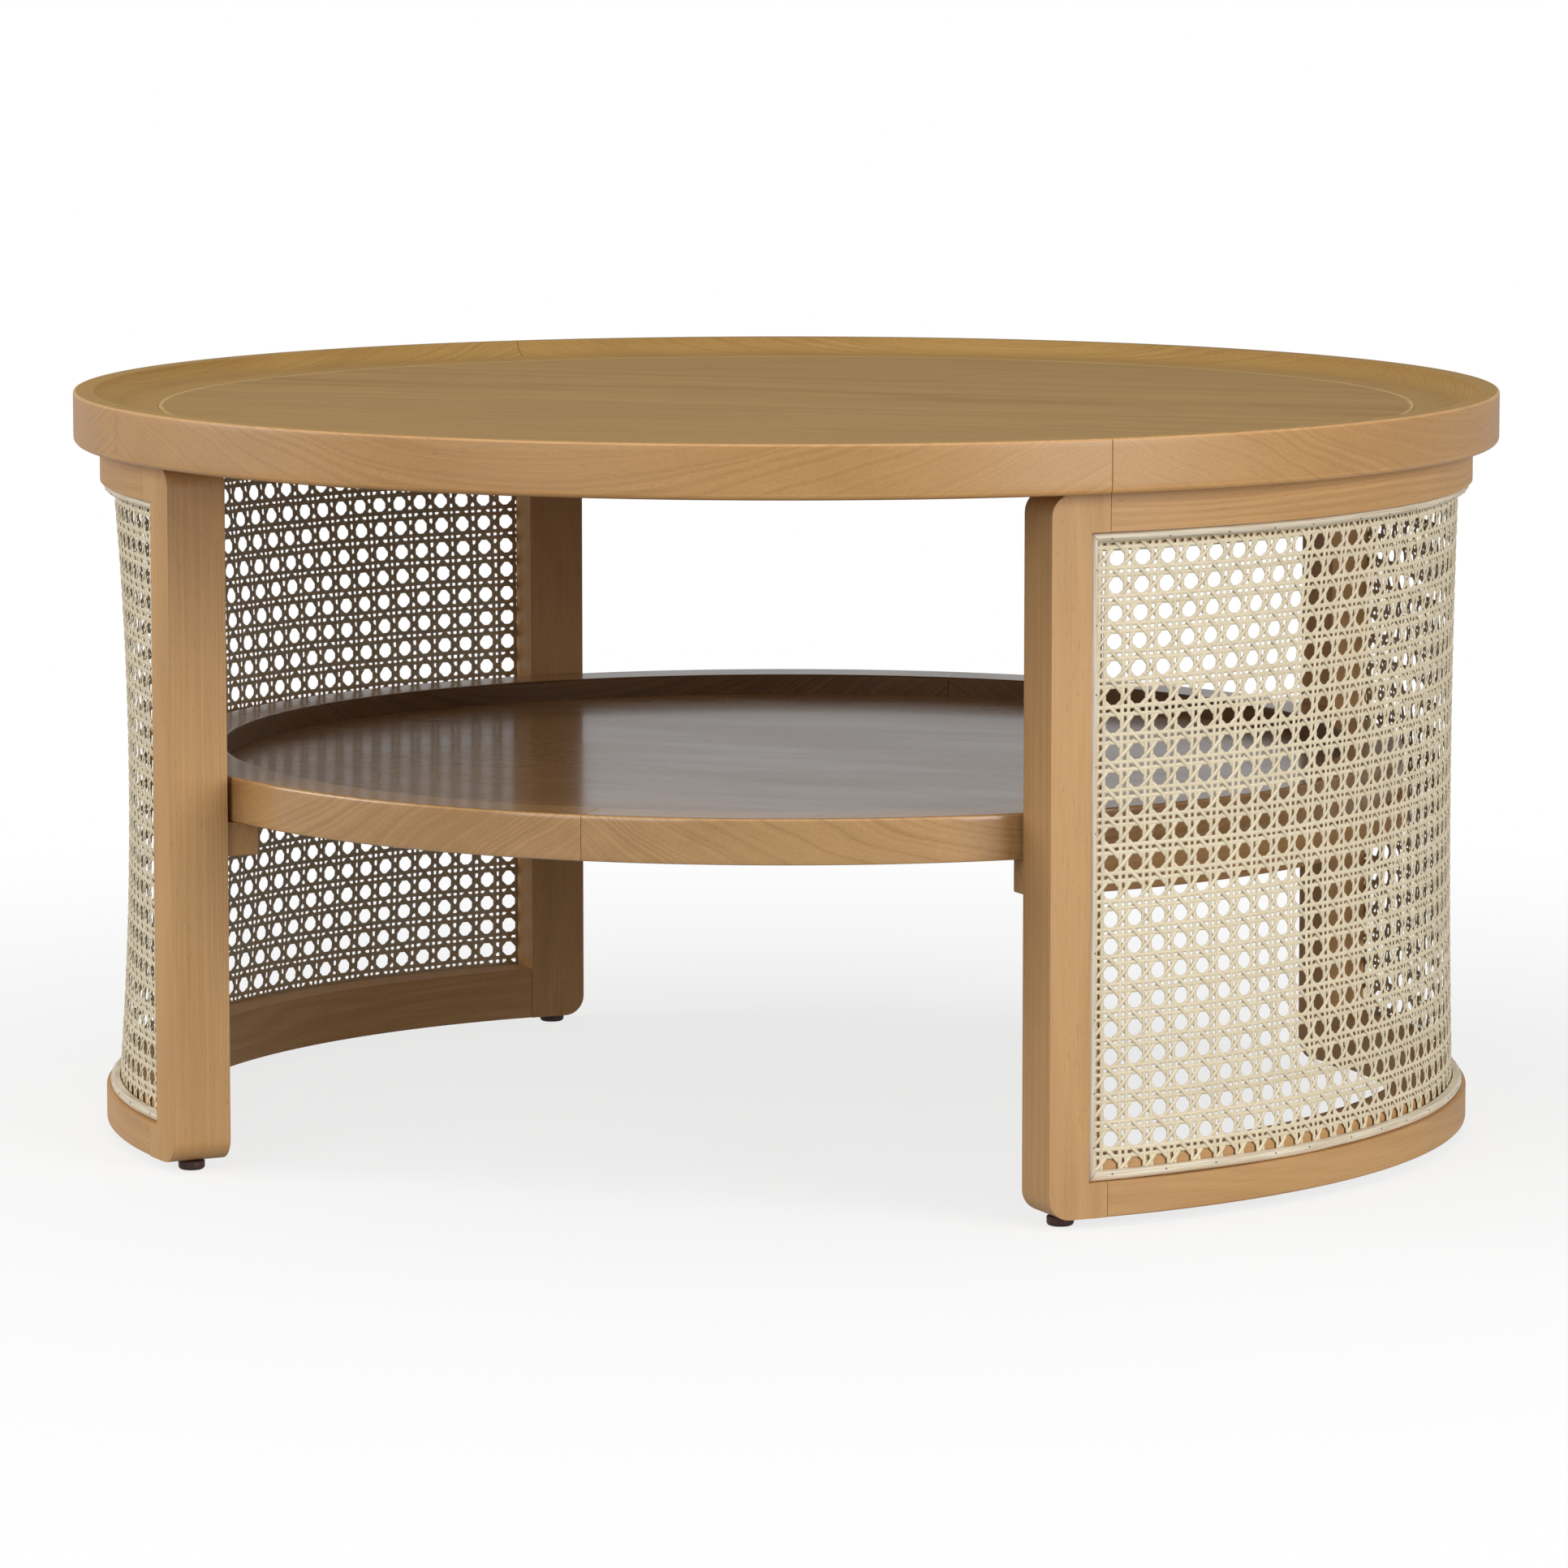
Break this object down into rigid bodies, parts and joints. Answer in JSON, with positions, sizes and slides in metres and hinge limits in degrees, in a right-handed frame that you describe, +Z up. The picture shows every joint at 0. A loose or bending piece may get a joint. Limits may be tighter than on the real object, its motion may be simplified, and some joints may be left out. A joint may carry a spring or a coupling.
{
  "type": "coffee table",
  "caption": "Round coffee table with a dished top, a lower tray shelf and two curved side panels of woven cane in a wooden frame, on glide feet.",
  "frame": {"origin": "on the floor under the centre of the round top", "axes": "+Z up; the two cane panels face +X and -X; the openings between them face +Y and -Y, and -Y is the front"},
  "size_m": [0.88, 0.88, 0.458],
  "materials": {
    "top_wood": "satin lacquered oak-brown hardwood, fine dark pores",
    "panel_wood": "satin lacquered honey hardwood, fine dark pores",
    "shelf_wood": "satin to gloss lacquered hardwood",
    "cane": "natural peeled cane, six-way weave, semi-gloss on the skin side",
    "bead_reed": "pale ivory half-round bead, matt",
    "foot_plastic": "dark brown moulded plastic",
    "tenon_wood": "plain beech, hidden",
    "screw_steel": "zinc-plated countersunk screw, hidden"
  },
  "bodies": {
    "root": {"top_edging_1": "top_wood", "top_edging_2": "top_wood", "top_edging_3": "top_wood", "top_edging_4": "top_wood", "top_disc": "top_wood", "shelf_edging_1": "shelf_wood", "shelf_edging_2": "shelf_wood", "shelf_edging_3": "shelf_wood", "shelf_edging_4": "shelf_wood", "shelf_disc": "shelf_wood", "right_front_post": "panel_wood", "right_front_foot": "foot_plastic", "right_front_shelf_screw": "screw_steel", "right_front_bearer_screw": "screw_steel", "right_front_top_tenon": "tenon_wood", "right_front_bottom_tenon": "tenon_wood", "right_front_bead": "bead_reed", "right_back_post": "panel_wood", "right_back_foot": "foot_plastic", "right_back_shelf_screw": "screw_steel", "right_back_bearer_screw": "screw_steel", "right_back_top_tenon": "tenon_wood", "right_back_bottom_tenon": "tenon_wood", "right_back_bead": "bead_reed", "left_front_post": "panel_wood", "left_front_foot": "foot_plastic", "left_front_shelf_screw": "screw_steel", "left_front_bearer_screw": "screw_steel", "left_front_top_tenon": "tenon_wood", "left_front_bottom_tenon": "tenon_wood", "left_front_bead": "bead_reed", "left_back_post": "panel_wood", "left_back_foot": "foot_plastic", "left_back_shelf_screw": "screw_steel", "left_back_bearer_screw": "screw_steel", "left_back_top_tenon": "tenon_wood", "left_back_bottom_tenon": "tenon_wood", "left_back_bead": "bead_reed", "right_top_rail": "panel_wood", "right_bottom_rail": "panel_wood", "right_bearer": "panel_wood", "right_top_screw_1": "screw_steel", "right_top_screw_2": "screw_steel", "right_top_screw_3": "screw_steel", "right_cane": "cane", "right_top_bead": "bead_reed", "right_bottom_bead": "bead_reed", "left_top_rail": "panel_wood", "left_bottom_rail": "panel_wood", "left_bearer": "panel_wood", "left_top_screw_1": "screw_steel", "left_top_screw_2": "screw_steel", "left_top_screw_3": "screw_steel", "left_cane": "cane", "left_top_bead": "bead_reed", "left_bottom_bead": "bead_reed"}
  },
  "joints": []
}
